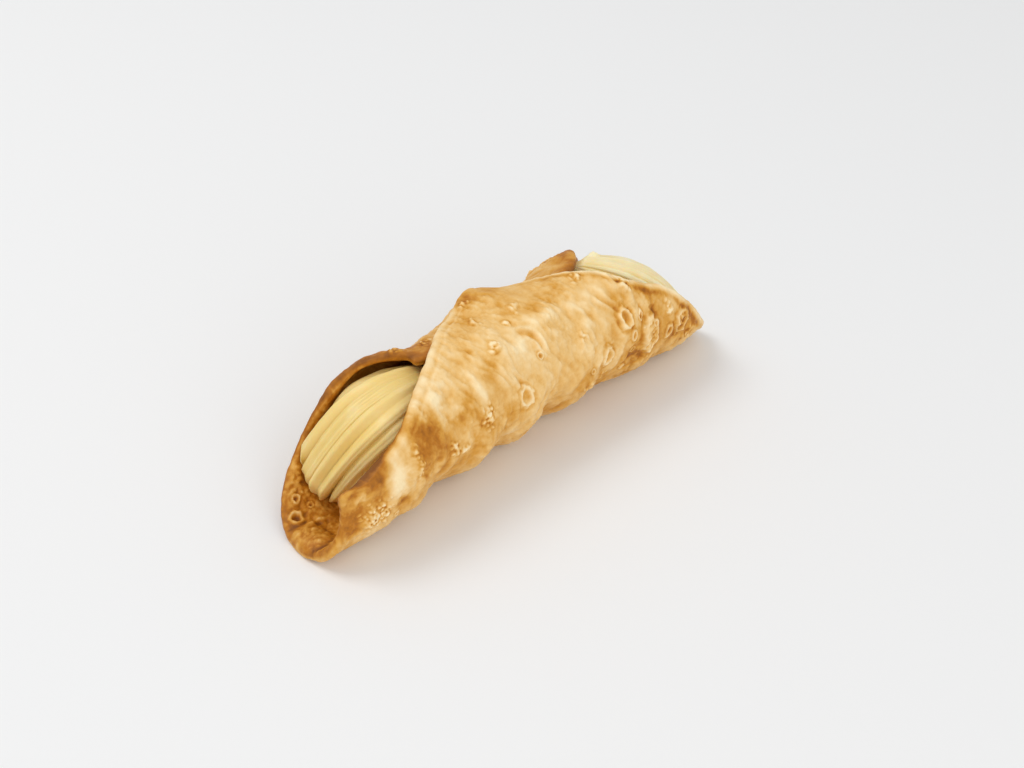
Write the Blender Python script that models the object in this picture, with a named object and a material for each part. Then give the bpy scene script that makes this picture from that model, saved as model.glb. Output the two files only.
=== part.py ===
"""A filled cannolo: a sheet of dough rolled into a shell and fried, with cream piped through it.

The shell's length lies along X, with the near end at -X. The object rests on the plane z = 0.
A spot of the flat dough has a place along X and a wrap angle, which turns round the tube from
the keel, the line that joins the two long tips. The angle is positive on the side that goes by
way of -Y and ends as the outer layer of the overlap. A turn is an angle from straight down
towards -Y, so that a spot's turn is its wrap angle plus the keel's turn.
"""

import math
import random

import bpy
import numpy as np
from mathutils import Matrix, Vector, noise
from mathutils.geometry import delaunay_2d_cdt

# Driving dimensions, in metres and radians unless a comment says otherwise.
BORE_RADIUS = 0.0160  # of the rod that the dough is rolled on
WALL = 0.0024  # dough thickness between blisters
SEAM_GAP = 0.0003  # between the two layers of the overlap
FIT_GAP = 0.0005  # between the cream and the shell
REST_SINK = 0.0006  # how much of the round underside is flattened to rest on
WRAP_END = math.radians(200)  # wrap angle of the outer layer's last spot
CENTRING = Vector((-0.0030, 0.0007, 0.0))  # puts the origin below the middle of the whole

NEAR_KEEL = math.radians(20)  # the keel's turn at the near tip
MIDDLE_KEEL = math.radians(9)  # in the middle, because the dough was rolled askew
FAR_KEEL = math.radians(34)  # and at the far tip

# The flat dough's edge, from the far tip by way of the outer layer: place along X in mm, and
# wrap angle in degrees.
DOUGH_EDGE = (
    (79, 0), (72, 40), (58, 96), (46, 124), (33, 162), (18, 188), (3, 201), (-12, 187),
    (-26, 161), (-39, 137), (-51, 114), (-62, 93), (-70, 60), (-73, 8), (-71, -30),
    (-65, -60), (-55, -92), (-47, -120), (-36, -148), (-27, -173), (-26, -192), (-12, -203),
    (12, -205), (32, -196), (43, -177), (50, -150), (61, -108), (71, -62),
)
FAR_TIP = DOUGH_EDGE[0][0] / 1000
NEAR_TIP = min(x for x, angle in DOUGH_EDGE) / 1000

# Where the wall isn't round: place along X, turn, how far it is pushed out, and how far that
# reaches along the tube and round it.
PUSHES = (
    (-0.032, math.radians(235), 0.0026, 0.009, math.radians(30)),  # back lip flares
    (-0.021, math.radians(228), -0.0018, 0.005, math.radians(30)),  # has a dent
    (-0.008, math.radians(228), -0.0012, 0.010, math.radians(34)),  # and sags
    (0.003, math.radians(215), 0.0028, 0.009, math.radians(24)),  # outer corner lifts
    (0.027, math.radians(222), -0.0022, 0.013, math.radians(36)),  # flat stretch of the back
    (0.039, math.radians(225), 0.0017, 0.007, math.radians(28)),  # far lip stands up
    (0.052, math.radians(225), -0.0012, 0.005, math.radians(28)),  # and bends down
    (-0.062, math.radians(78), -0.0035, 0.012, math.radians(26)),  # front lip curls inwards
    (-0.062, math.radians(-62), -0.0012, 0.018, math.radians(50)),  # back lip is drawn in
    (-0.033, math.radians(52), -0.0029, 0.009, math.radians(34)),  # waists of the front side
    (-0.010, math.radians(52), -0.0026, 0.007, math.radians(34)),
    (0.0065, math.radians(52), -0.0048, 0.006, math.radians(34)),
    (0.028, math.radians(52), -0.0021, 0.010, math.radians(34)),
)

# Relief of the fried outer face: waves, then bubbles of the dough at a place along X, a turn,
# a radius and a height, then blisters scattered at random.
SWELL_HEIGHT = 0.0010
SWELL_SIZE = 0.012  # from one wave to the next
BUBBLES = (
    (-0.054, math.radians(50), 0.0045, 0.0015),
    (-0.042, math.radians(50), 0.0045, 0.0016),
    (-0.021, math.radians(52), 0.0050, 0.0005),
    (-0.004, math.radians(50), 0.0042, 0.0010),
    (0.018, math.radians(50), 0.0050, 0.0006),
    (0.048, math.radians(52), 0.0055, 0.0009),
    (0.063, math.radians(50), 0.0070, 0.0009),
    (-0.034, math.radians(84), 0.0060, 0.0009),
    (0.028, math.radians(97), 0.0032, 0.0009),
    (0.045, math.radians(94), 0.0036, 0.0010),
    (0.060, math.radians(86), 0.0036, 0.0009),
    (0.037, math.radians(114), 0.0034, 0.0009),
)
BLISTERS = 70
BLISTER_RADII = (0.0026, 0.0042)
BLISTER_STEEPNESS = 0.20  # height over radius
RELIEF_SEED = 11
REST_WIDTH = math.radians(22)  # how far round the underside the relief is pressed flat
LAP_MARGIN = 0.0016  # smooth strip of the lower layer beside the overlap

# The sheet's points: rings beside its edge, as a distance and the share of the wall that is
# left there, and a grid within them.
LIP_RINGS = ((0.0, 0.30), (0.0005, 0.75), (0.0014, 1.0))
DOUGH_GRID = 0.0031
LIP_SPACING = 0.0025
GRID_MARGIN = 0.0019  # between the innermost ring and the grid
CURVE_SHARES = 20  # stretches of the smooth edge between two of its points

# Piped cream. A rosette follows a curved spine from its blunt front by a bend to its tail.
RIDGES = 16
RIDGE_DEPTH = 0.17  # of the valleys, over the rosette's radius
RIDGE_POINTS = 4
TWIST = math.radians(-12)  # of the ridges, from front to tail
BLUNT_SHARE = 0.12  # of the spine, in which the front grows to full width
BLUNT_POWER = 0.4
TAPER_SHARE = 0.55  # of the spine, in which the tail is drawn out
TAPER_POWER = 0.8
ROSETTE_STEPS = 15
NEAR_SPINE = (
    Vector((-0.0515, 0.0082, 0.0022)),
    Vector((-0.0450, -0.0040, 0.0240)),
    Vector((-0.0150, 0.0010, 0.0265)),
)
NEAR_WIDTH = 0.0164
FAR_SPINE = (
    Vector((0.0640, -0.0100, 0.0030)),
    Vector((0.0600, -0.0045, 0.0195)),
    Vector((0.0410, 0.0075, 0.0330)),
)
FAR_WIDTH = 0.0122

# The plain cream between the rosettes: full up to the wall in the middle, and a low round
# tongue under each rosette.
CORE_ENDS = (-0.042, 0.052)
CORE_FULL = (-0.006, 0.022)
TONGUE_RADIUS = 0.0085
TONGUE_HEIGHT = 0.0135
CORE_FADE = 0.014  # from the full middle to a tongue
CORE_CAPS = (0.3, 0.65)  # share of the area that the last two rings at each end keep
CORE_STEPS = 26
CORE_POINTS = 36

PITCH = WALL + SEAM_GAP
MIDDLE_RADIUS = BORE_RADIUS + (WALL + PITCH) / 2
FULL_TURN = 2 * math.pi
AXIS_HEIGHT = BORE_RADIUS + PITCH * WRAP_END / FULL_TURN + WALL - REST_SINK


def bump(distance):
    """A bell of height 1, for a distance in units of its reach."""
    return math.exp(-distance * distance)


def keel_turn(x):
    """The keel's turn at a place along the tube."""
    tip, end = (FAR_TIP, FAR_KEEL) if x > 0 else (NEAR_TIP, NEAR_KEEL)
    return MIDDLE_KEEL + (end - MIDDLE_KEEL) * (x / tip) ** 2


def inner_face(x, angle):
    """Radius of the wall's inner face: a spiral that gains one layer a turn, with its pushes."""
    turn = keel_turn(x) + angle
    radius = BORE_RADIUS + PITCH * (angle + WRAP_END) / FULL_TURN
    for place, middle, depth, along, around in PUSHES:
        off = math.remainder(turn - middle, FULL_TURN)
        radius += depth * bump((x - place) / along) * bump(off / around)
    return radius


def point(x, turn, radius):
    """The point at a place along the tube, a turn and a radius."""
    return Vector((x, -radius * math.sin(turn), AXIS_HEIGHT - radius * math.cos(turn)))


def outline(spacing):
    """The flat dough's edge as an evenly spaced smooth curve through its points, (x, arc)."""
    knots = np.array([(x / 1000, math.radians(angle) * MIDDLE_RADIUS) for x, angle in DOUGH_EDGE])
    before, after, later = (np.roll(knots, shift, axis=0) for shift in (1, -1, -2))
    stretches = []
    for share in np.linspace(0, 1, CURVE_SHARES, endpoint=False):
        slope = (after - before) * share
        bend = (2 * before - 5 * knots + 4 * after - later) * share**2
        sway = (3 * knots - before - 3 * after + later) * share**3
        stretches.append(knots + (slope + bend + sway) / 2)
    curve = np.stack(stretches, axis=1).reshape(-1, 2)
    closed = np.concatenate([curve, curve[:1]])
    walked = np.concatenate([[0], np.cumsum(np.hypot(*np.diff(closed, axis=0).T))])
    count = round(walked[-1] / spacing)
    stops = np.arange(count) * walked[-1] / count
    return np.column_stack([np.interp(stops, walked, closed[:, axis]) for axis in (0, 1)])


def inset(edge, distance):
    """The closed outline moved inwards."""
    along = np.roll(edge, -1, axis=0) - np.roll(edge, 1, axis=0)
    inward = np.column_stack([-along[:, 1], along[:, 0]])
    return edge + distance * inward / np.linalg.norm(inward, axis=1)[:, None]


def depth_inside(edge, x, arc):
    """How far a spot lies inside the outline; negative outside it."""
    following = np.roll(edge, -1, axis=0)
    crosses = (edge[:, 1] > arc) != (following[:, 1] > arc)
    a, b = edge[crosses], following[crosses]
    cuts = a[:, 0] + (arc - a[:, 1]) / (b[:, 1] - a[:, 1]) * (b[:, 0] - a[:, 0])
    distance = np.hypot(edge[:, 0] - x, edge[:, 1] - arc).min()
    return distance if np.count_nonzero(cuts > x) % 2 else -distance


def grid_inside(edge, spacing, margin):
    """Points of a triangular grid that lie inside the outline, by at least a margin."""
    low, high = edge.min(axis=0), edge.max(axis=0)
    step = spacing * math.sqrt(3) / 2
    found = []
    for row in range(math.ceil(low[1] / step), math.floor(high[1] / step) + 1):
        shift = spacing / 2 * (row % 2)
        for column in range(math.ceil(low[0] / spacing) - 1, math.floor(high[0] / spacing) + 1):
            spot = (column * spacing + shift, row * step)
            if depth_inside(edge, *spot) > margin:
                found.append(spot)
    return np.array(found)


def all_blisters():
    """The bubbles and the scattered blisters, as a place along X, an arc, a radius and a height."""
    draw = random.Random(RELIEF_SEED)
    found = []
    for x, turn, radius, height in BUBBLES:
        found.append((x, (turn - keel_turn(x)) * MIDDLE_RADIUS, radius, height))
    for _ in range(BLISTERS):
        x = draw.uniform(NEAR_TIP, FAR_TIP)
        arc = draw.uniform(-1, 1) * WRAP_END * MIDDLE_RADIUS
        radius = draw.uniform(*BLISTER_RADII)
        found.append((x, arc, radius, radius * BLISTER_STEEPNESS * draw.uniform(0.5, 1.2)))
    return found


def relief(x, arc, blisters, edge):
    """How far the outer face stands out from the even wall."""
    height = SWELL_HEIGHT * noise.noise(Vector((x, arc, 0)) / SWELL_SIZE)
    for place, middle, radius, rise in blisters:
        off = math.hypot(x - place, arc - middle) / radius
        if off < 2:
            height += rise * bump(off)
    turn = math.remainder(keel_turn(x) + arc / MIDDLE_RADIUS, FULL_TURN)
    height *= 1 - bump(turn / REST_WIDTH)
    if arc < 0:
        clear = -depth_inside(edge, x, arc + FULL_TURN * MIDDLE_RADIUS)
        height *= min(max((clear - LAP_MARGIN) / DOUGH_GRID, 0.0), 1.0)
    return height


def shell_mesh():
    """The dough as a flat sheet of triangles, thickened, rounded at its edge and rolled up."""
    edge = outline(LIP_SPACING)
    rings = [inset(edge, distance) for distance, share in LIP_RINGS]
    field = grid_inside(rings[-1], DOUGH_GRID, GRID_MARGIN)
    flat = np.concatenate([*rings, field])
    left = [share for distance, share in LIP_RINGS for spot in edge] + [1.0] * len(field)
    border = [(spot, (spot + 1) % len(edge)) for spot in range(len(edge))]
    made = delaunay_2d_cdt([Vector(spot) for spot in flat], border, [], 1, 1e-7)
    sheet, triangles, origins = made[0], made[2], made[3]
    blisters = all_blisters()
    inner, outer = [], []
    for spot, origin in zip(sheet, origins):
        x, angle, share = spot.x, spot.y / MIDDLE_RADIUS, left[origin[0]]
        low, thin = inner_face(x, angle), WALL * (1 - share) / 2
        raised = relief(x, spot.y, blisters, edge) * share
        inner.append(point(x, keel_turn(x) + angle, low + thin))
        outer.append(point(x, keel_turn(x) + angle, low + WALL - thin + raised))
    vertices = inner + outer
    for vertex in vertices:
        vertex.z = max(vertex.z, 0.0)
    half = len(sheet)
    faces = [tuple(reversed(corners)) for corners in triangles]
    faces += [tuple(half + corner for corner in corners) for corners in triangles]
    place_of = {origin[0]: place for place, origin in enumerate(origins)}
    for start, end in border:
        a, b = place_of[start], place_of[end]
        faces.append((a, b, half + b, half + a))
    return vertices, faces


def wall_limit(x, turn, edge):
    """The radius that the cream may fill: up to the wall, and freely past its lips."""
    around = math.remainder(turn - keel_turn(x), FULL_TURN)
    limits = []
    for angle in (around, around - math.copysign(FULL_TURN, around)):
        past_lip = -depth_inside(edge, x, angle * MIDDLE_RADIUS) - LIP_RINGS[-1][0]
        limits.append(inner_face(x, angle) - FIT_GAP + 2 * max(past_lip, 0.0))
    return min(limits)


def held_in(spot, edge):
    """The point drawn back to where the shell lets it be."""
    y, z = spot.y, spot.z - AXIS_HEIGHT
    radius = math.hypot(y, z)
    limit = wall_limit(spot.x, math.atan2(-y, -z), edge)
    if radius <= limit:
        return spot
    return Vector((spot.x, y * limit / radius, AXIS_HEIGHT + z * limit / radius))


def loft(sections):
    """Vertices and faces of a solid over rings of points, closed to a point at each end."""
    count = len(sections[0])
    vertices = [spot for section in sections for spot in section]
    faces = []
    for row in range(len(sections) - 1):
        for column in range(count):
            a, b = row * count + column, row * count + (column + 1) % count
            faces.append((b, a, a + count, b + count))
    last = len(vertices) - count
    for start in (0, last):
        middle = len(vertices)
        vertices.append(sum(vertices[start:start + count], Vector()) / count)
        for column in range(count):
            a, b = start + column, start + (column + 1) % count
            faces.append((middle, b, a) if start else (middle, a, b))
    return vertices, faces


def rosette(spine, width, edge):
    """A piped rosette, blunt and starry at its front and drawn out to its tail."""
    front, bend, tail = spine
    side = (tail - front).cross(Vector((0, 0, 1))).normalized()
    sections = []
    for step in range(1, ROSETTE_STEPS):
        share = (1 - math.cos(math.pi * step / ROSETTE_STEPS)) / 2
        middle = front * (1 - share) ** 2 + bend * 2 * share * (1 - share) + tail * share**2
        along = ((bend - front) * (1 - share) + (tail - bend) * share).normalized()
        up = side.cross(along)
        grown = min(share / BLUNT_SHARE, 1) ** BLUNT_POWER
        drawn = max(1 - (1 - share) / TAPER_SHARE, 0)
        size = width * grown * (1 - drawn**2) ** TAPER_POWER
        section = []
        for slot in range(RIDGES * RIDGE_POINTS):
            valley = 1 - abs(math.cos(math.pi * slot / RIDGE_POINTS))
            phase = FULL_TURN * slot / (RIDGES * RIDGE_POINTS) + TWIST * share
            reach = size * (1 - RIDGE_DEPTH * valley)
            spot = middle + (side * math.cos(phase) + up * math.sin(phase)) * reach
            section.append(held_in(spot, edge))
        sections.append(section)
    return loft(sections)


def core(edge):
    """The plain cream that fills the tube and joins the rosettes."""
    start, end = CORE_ENDS
    sections = []
    for step in range(CORE_STEPS + 1):
        x = start + (end - start) * step / CORE_STEPS
        outside = max(CORE_FULL[0] - x, x - CORE_FULL[1], 0.0)
        full = max(1 - outside / CORE_FADE, 0.0)
        full *= full * (3 - 2 * full)
        from_end = min(step, CORE_STEPS - step)
        rounding = math.sqrt(CORE_CAPS[from_end]) if from_end < len(CORE_CAPS) else 1.0
        height = AXIS_HEIGHT + (TONGUE_HEIGHT - AXIS_HEIGHT) * (1 - full)
        radius = (TONGUE_RADIUS + (BORE_RADIUS + WALL - TONGUE_RADIUS) * full) * rounding
        section = []
        for slot in range(CORE_POINTS):
            turn = FULL_TURN * slot / CORE_POINTS
            spot = Vector((x, -radius * math.sin(turn), height - radius * math.cos(turn)))
            section.append(held_in(spot, edge))
        sections.append(section)
    return loft(sections)


def add_object(name, vertices, faces):
    """A mesh object with the given form, moved over the origin."""
    mesh = bpy.data.meshes.new(name)
    mesh.from_pydata(vertices, [], faces)
    mesh.transform(Matrix.Translation(CENTRING))
    made = bpy.data.objects.new(name, mesh)
    bpy.context.scene.collection.objects.link(made)
    return made


def fuse(base, others):
    """Join the other solids to the base and remove them."""
    group = bpy.data.collections.new(base.name + "_parts")
    for other in others:
        group.objects.link(other)
    union = base.modifiers.new("union", "BOOLEAN")
    union.operation = "UNION"
    union.operand_type = "COLLECTION"
    union.collection = group
    union.solver = "EXACT"
    graph = bpy.context.evaluated_depsgraph_get()
    joined = bpy.data.meshes.new_from_object(base.evaluated_get(graph))
    base.modifiers.clear()
    base.data = joined
    for other in others:
        bpy.data.objects.remove(other)
    bpy.data.collections.remove(group)


def finish(made, colour, roughness):
    """Smooth shading and a plain material named after the object."""
    made.data.shade_smooth()
    material = bpy.data.materials.new(made.name)
    material.use_nodes = True
    shader = material.node_tree.nodes["Principled BSDF"]
    shader.inputs["Base Color"].default_value = (*colour, 1)
    shader.inputs["Roughness"].default_value = roughness
    made.data.materials.clear()
    made.data.materials.append(material)


def main():
    for old in list(bpy.data.objects):
        bpy.data.objects.remove(old)
    edge = outline(LIP_SPACING / 2)
    shell = add_object("shell", *shell_mesh())
    cream = add_object("cream", *rosette(NEAR_SPINE, NEAR_WIDTH, edge))
    far_rosette = add_object("far_rosette", *rosette(FAR_SPINE, FAR_WIDTH, edge))
    filling = add_object("filling", *core(edge))
    fuse(cream, [filling, far_rosette])
    finish(shell, (0.60, 0.34, 0.11), 0.6)
    finish(cream, (0.86, 0.68, 0.27), 0.45)


main()
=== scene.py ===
"""A filled cannolo on a pale floor: its fried shell and its piped cream, in full detail.

Both pieces follow the solids of the frame. A spot of the flat dough has a place along X and an
arc, its distance round the tube from the keel, the line that joins the two long tips. A turn is
an angle from straight down towards -Y. All sizes are metres and radians unless a comment says
otherwise, and the dough's numbers are those of the solids before they are centred.
"""

import math
import random

import bpy
import numpy as np
from mathutils import Matrix, Vector, noise
from mathutils.geometry import delaunay_2d_cdt


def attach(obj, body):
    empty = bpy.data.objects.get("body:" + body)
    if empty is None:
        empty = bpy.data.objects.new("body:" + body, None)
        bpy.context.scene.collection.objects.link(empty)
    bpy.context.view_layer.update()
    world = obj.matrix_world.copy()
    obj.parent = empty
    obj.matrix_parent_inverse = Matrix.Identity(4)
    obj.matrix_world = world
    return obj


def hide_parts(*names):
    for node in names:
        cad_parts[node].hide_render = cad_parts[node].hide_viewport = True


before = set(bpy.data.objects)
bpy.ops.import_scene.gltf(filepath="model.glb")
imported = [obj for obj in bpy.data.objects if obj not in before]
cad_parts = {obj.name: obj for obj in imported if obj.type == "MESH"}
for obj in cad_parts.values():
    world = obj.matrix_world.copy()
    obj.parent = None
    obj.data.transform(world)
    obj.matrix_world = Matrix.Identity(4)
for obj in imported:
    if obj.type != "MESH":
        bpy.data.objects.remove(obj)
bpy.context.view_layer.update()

# ---------------- the rolled dough, as in the solids

BORE_RADIUS = 0.0160
WALL = 0.0024
SEAM_GAP = 0.0003
FIT_GAP = 0.0005
REST_SINK = 0.0006
WRAP_END = math.radians(200)
CENTRING = Vector((-0.0030, 0.0007, 0.0))
NEAR_KEEL = math.radians(20)
MIDDLE_KEEL = math.radians(9)
FAR_KEEL = math.radians(34)

# The flat dough's edge, from the far tip by way of the outer layer: mm along X, degrees round.
DOUGH_EDGE = (
    (79, 0), (72, 40), (58, 96), (46, 124), (33, 162), (18, 188), (3, 201), (-12, 187),
    (-26, 161), (-39, 137), (-51, 114), (-62, 93), (-70, 60), (-73, 8), (-71, -30),
    (-65, -60), (-55, -92), (-47, -120), (-36, -148), (-27, -173), (-26, -192), (-12, -203),
    (12, -205), (32, -196), (43, -177), (50, -150), (61, -108), (71, -62),
)
FAR_TIP = DOUGH_EDGE[0][0] / 1000
NEAR_TIP = min(x for x, angle in DOUGH_EDGE) / 1000

# Where the wall isn't round: place along X, degrees of turn, how far it is pushed out, and its
# reach along the tube and, in degrees, round it.
PUSHES = (
    (-0.032, 235, 0.0026, 0.009, 30), (-0.021, 228, -0.0018, 0.005, 30),
    (-0.008, 228, -0.0012, 0.010, 34), (0.003, 215, 0.0028, 0.009, 24),
    (0.027, 222, -0.0022, 0.013, 36), (0.039, 225, 0.0017, 0.007, 28),
    (0.052, 225, -0.0012, 0.005, 28), (-0.062, 78, -0.0035, 0.012, 26),
    (-0.062, -62, -0.0012, 0.018, 50), (-0.033, 52, -0.0029, 0.009, 34),
    (-0.010, 52, -0.0026, 0.007, 34), (0.0065, 52, -0.0048, 0.006, 34),
    (0.028, 52, -0.0021, 0.010, 34),
)

# Low swells and single bubbles: place along X, degrees of turn, radius and height.
SWELL_HEIGHT = 0.0010
SWELL_SIZE = 0.012
BUBBLES = (
    (-0.054, 50, 0.0045, 0.0015), (-0.042, 50, 0.0045, 0.0016),
    (-0.021, 52, 0.0050, 0.0005), (-0.004, 50, 0.0042, 0.0010),
    (0.018, 50, 0.0050, 0.0006), (0.048, 52, 0.0055, 0.0009),
    (0.063, 50, 0.0070, 0.0009), (-0.034, 84, 0.0060, 0.0009),
    (0.028, 97, 0.0032, 0.0009), (0.045, 94, 0.0036, 0.0010),
    (0.060, 86, 0.0036, 0.0009), (0.037, 114, 0.0034, 0.0009),
)
BLISTERS = 70
BLISTER_RADII = (0.0026, 0.0042)
BLISTER_STEEPNESS = 0.20
RELIEF_SEED = 11
REST_WIDTH = math.radians(22)
LAP_MARGIN = 0.0016
LAP_FADE = 0.0031

PITCH = WALL + SEAM_GAP
MIDDLE_RADIUS = BORE_RADIUS + (WALL + PITCH) / 2
FULL_TURN = 2 * math.pi
AXIS_HEIGHT = BORE_RADIUS + PITCH * WRAP_END / FULL_TURN + WALL - REST_SINK


def bump(distance):
    """A bell of height 1, for a distance in units of its reach."""
    return np.exp(-distance * distance)


def rising(value, start, length):
    """0 up to the start, then rising to 1 over the length."""
    return np.clip((value - start) / length, 0, 1)


def remainder(turn):
    """The turn between minus and plus half a turn."""
    return (turn + math.pi) % FULL_TURN - math.pi


def keel_turn(x):
    """The keel's turn at a place along the tube."""
    far = MIDDLE_KEEL + (FAR_KEEL - MIDDLE_KEEL) * (x / FAR_TIP) ** 2
    near = MIDDLE_KEEL + (NEAR_KEEL - MIDDLE_KEEL) * (x / NEAR_TIP) ** 2
    return np.where(x > 0, far, near)


def pushed(x, angle, push):
    """How far a push moves the wall out."""
    place, middle, depth, along, around = push
    off = remainder(keel_turn(x) + angle - math.radians(middle)) / math.radians(around)
    return depth * bump((x - place) / along) * bump(off)


def inner_face(x, angle):
    """Radius of the wall's inner face: a spiral that gains one layer a turn, with its pushes."""
    radius = BORE_RADIUS + PITCH * (angle + WRAP_END) / FULL_TURN
    for push in PUSHES:
        radius = radius + pushed(x, angle, push)
    return radius


def rolled(x, arc, radius):
    """Points in space of spots of the dough that lie at a radius."""
    turn = keel_turn(x) + arc / MIDDLE_RADIUS
    return np.column_stack([x, -radius * np.sin(turn), AXIS_HEIGHT - radius * np.cos(turn)])


def arc_at(x, turn):
    """The arc of the spot that shows on the outside at a turn."""
    angle = turn - float(keel_turn(x))
    if angle > WRAP_END:
        angle -= FULL_TURN
    return angle * MIDDLE_RADIUS


CURVE_STEPS = 20
BATCH = 4000


def outline(spacing):
    """The flat dough's edge as an evenly spaced smooth curve through its points, (x, arc)."""
    knots = np.array([(x / 1000, math.radians(angle) * MIDDLE_RADIUS) for x, angle in DOUGH_EDGE])
    before, after, later = (np.roll(knots, shift, axis=0) for shift in (1, -1, -2))
    stretches = []
    for share in np.linspace(0, 1, CURVE_STEPS, endpoint=False):
        slope = (after - before) * share
        bend = (2 * before - 5 * knots + 4 * after - later) * share**2
        sway = (3 * knots - before - 3 * after + later) * share**3
        stretches.append(knots + (slope + bend + sway) / 2)
    curve = np.stack(stretches, axis=1).reshape(-1, 2)
    closed = np.concatenate([curve, curve[:1]])
    walked = np.concatenate([[0], np.cumsum(np.hypot(*np.diff(closed, axis=0).T))])
    count = round(walked[-1] / spacing)
    stops = np.arange(count) * walked[-1] / count
    return np.column_stack([np.interp(stops, walked, closed[:, axis]) for axis in (0, 1)])


def inset(edge, distance):
    """The closed outline moved inwards, by one distance or by one for each point."""
    along = np.roll(edge, -1, axis=0) - np.roll(edge, 1, axis=0)
    inward = np.column_stack([-along[:, 1], along[:, 0]])
    inward /= np.linalg.norm(inward, axis=1)[:, None]
    return edge + inward * np.reshape(distance, (-1, 1))


def depth_inside(edge, spots):
    """How far each spot lies inside the outline; negative outside it."""
    following = np.roll(edge, -1, axis=0)
    depths = np.empty(len(spots))
    for first in range(0, len(spots), BATCH):
        some = slice(first, first + BATCH)
        x, arc = spots[some, :1], spots[some, 1:]
        crosses = (edge[:, 1] > arc) != (following[:, 1] > arc)
        rise = np.where(following[:, 1] == edge[:, 1], 1.0, following[:, 1] - edge[:, 1])
        cut = edge[:, 0] + (arc - edge[:, 1]) / rise * (following[:, 0] - edge[:, 0])
        inside = np.count_nonzero(crosses & (cut > x), axis=1) % 2 == 1
        nearest = np.hypot(edge[:, 0] - x, edge[:, 1] - arc).min(axis=1)
        depths[some] = np.where(inside, nearest, -nearest)
    return depths


# ---------------- noise


def waves(spots, size, layer=0.0):
    """Smooth noise between about -1 and 1 at flat spots; size is from one wave to the next."""
    across, along = (size, size) if np.isscalar(size) else size
    return np.array([noise.noise((x / across, arc / along, layer)) for x, arc in spots])


def fizz(spots, size, layer=0.0):
    """Round cells: 1 in the middle of a cell, falling to 0 between the cells."""
    found = [noise.voronoi((x / size, arc / size, layer))[0][0] for x, arc in spots]
    return np.clip(1 - 2 * np.array(found) ** 2, 0, 1)


def slanted(spots, direction):
    """Spots in axes along and across a direction on the flat dough."""
    cos, sin = math.cos(direction), math.sin(direction)
    x, arc = spots[:, 0], spots[:, 1]
    return np.column_stack([x * cos + arc * sin, arc * cos - x * sin])


# ---------------- the fried crust's detail

# Burst blisters: mm along X, degrees of turn, radius in mm, how much longer it is round the
# tube, and height of its rim in mm.
RINGS = (
    (-4.5, 104, 1.9, 1.3, 0.50), (36.5, 118, 1.8, 1.3, 0.60), (38.2, 102, 0.9, 1.5, 0.45),
    (42.6, 114, 0.9, 1.5, 0.40), (45.8, 93, 2.8, 1.6, 0.60), (47.6, 101, 0.8, 1.0, 0.35),
    (54.4, 84, 1.2, 1.5, 0.50), (60.0, 87, 2.7, 1.1, 0.60), (28.1, 95, 1.8, 1.4, 0.55),
    (4.0, 127, 0.7, 1.2, 0.30), (38.4, 88, 0.8, 1.0, 0.45), (21.8, 90, 0.7, 1.0, 0.35),
    (36.4, 69, 0.9, 1.0, 0.45), (-51.0, 60, 0.8, 1.0, 0.30),
)

# Crumbly clusters: mm along X, degrees of turn, reach in mm along and round, crumbs.
CLUSTERS = (
    (-58.0, 72, 5.2, 4.0, 120), (-32.2, 98, 1.6, 2.4, 18), (-28.5, 92, 1.8, 1.2, 9),
    (-18.9, 106, 2.2, 3.8, 34), (42.0, 142, 2.2, 3.0, 26), (54.1, 107, 1.4, 2.4, 14),
    (65.0, 68, 3.2, 2.0, 18), (60.0, 87, 2.2, 2.2, 16), (45.8, 92, 2.4, 4.0, 22),
    (-44.8, 100, 2.0, 4.5, 14), (24.0, 72, 5.0, 2.2, 14), (-13.0, 196, 3.0, 1.6, 8),
    (-7.6, 151, 1.8, 1.6, 11), (7.1, 169, 1.3, 1.3, 6), (-2.1, 199, 2.0, 1.4, 8),
    (-5.7, 177, 1.2, 1.2, 6), (1.0, 160, 1.4, 1.0, 6), (-18.0, -163, 2.0, 2.4, 12),
    (-26.0, -152, 2.4, 1.6, 10), (30.0, 166, 2.6, 1.6, 9), (20.0, 122, 2.0, 1.4, 5),
)

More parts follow.
